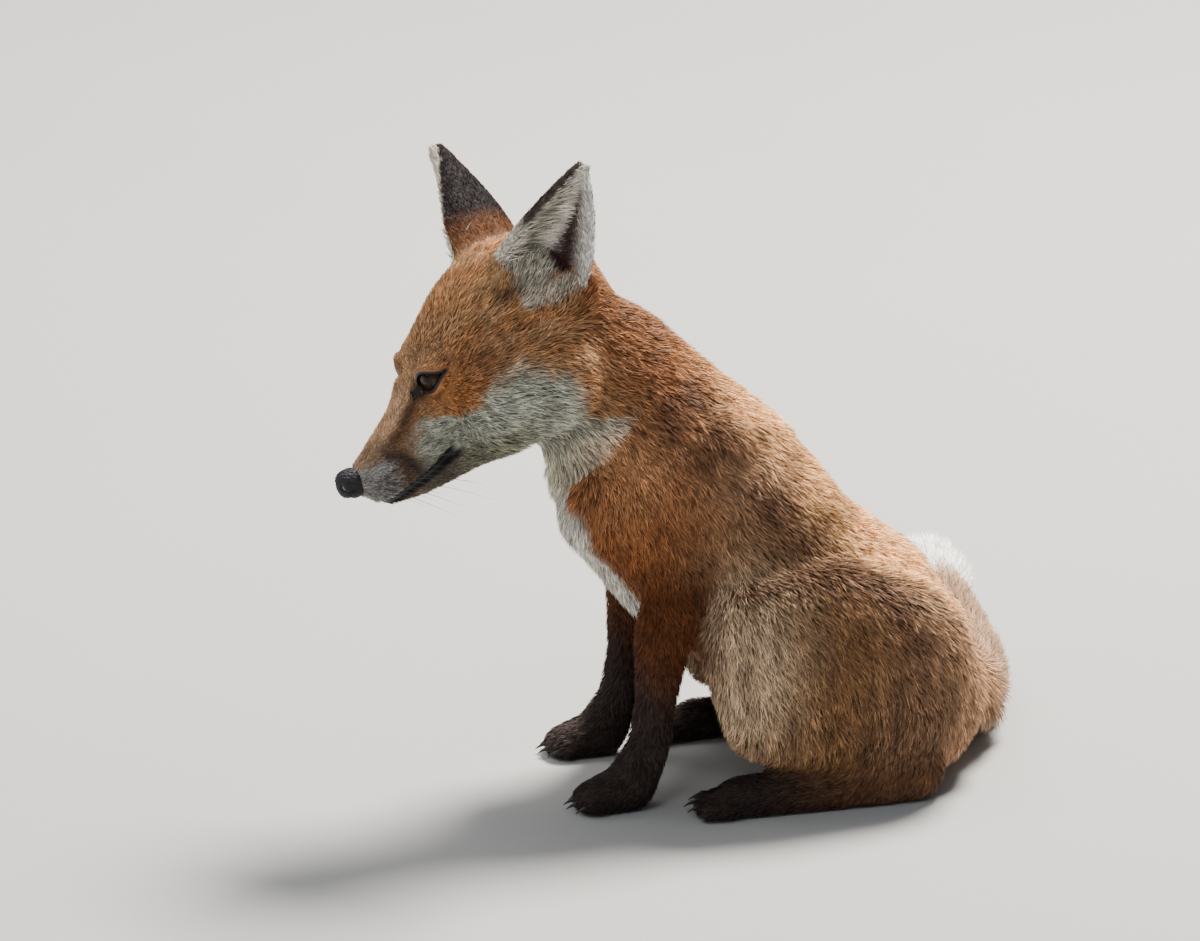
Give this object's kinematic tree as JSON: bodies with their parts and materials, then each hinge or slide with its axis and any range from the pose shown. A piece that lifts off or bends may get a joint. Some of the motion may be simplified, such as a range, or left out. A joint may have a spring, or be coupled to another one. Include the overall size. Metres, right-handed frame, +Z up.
{
  "type": "red fox model",
  "caption": "Young red fox sitting with its head lowered and its tail laid out behind, as a still life-size display model.",
  "frame": {"origin": "on the floor, at the centre of the model's footprint box", "axes": "-X the way the body faces, -Y the fox's left side, +Z up"},
  "size_m": [0.3638, 0.3318, 0.3309],
  "materials": {
    "rust_coat": "short dense rust-red fur",
    "brown_coat": "brown fur with darker flecks",
    "dark_coat": "short near-black fur",
    "pale_coat": "off-white fur",
    "nose_skin": "moist black pebbled skin",
    "eye_glass": "glossy brown eye",
    "claw_horn": "dark horn"
  },
  "bodies": {
    "root": {"head": "rust_coat", "lower_jaw": "pale_coat", "nose": "nose_skin", "eye_left": "eye_glass", "eye_right": "eye_glass", "ear_left": "dark_coat", "ear_right": "dark_coat", "neck": "brown_coat", "trunk": "brown_coat", "shoulder_left": "rust_coat", "shoulder_right": "rust_coat", "forearm_left": "dark_coat", "forearm_right": "dark_coat", "forepaw_left": "dark_coat", "forepaw_right": "dark_coat", "thigh_left": "brown_coat", "thigh_right": "brown_coat", "hindfoot_left": "dark_coat", "hindfoot_right": "dark_coat", "tail_root": "brown_coat", "tail_middle": "brown_coat", "tail_tip": "pale_coat"}
  },
  "joints": []
}
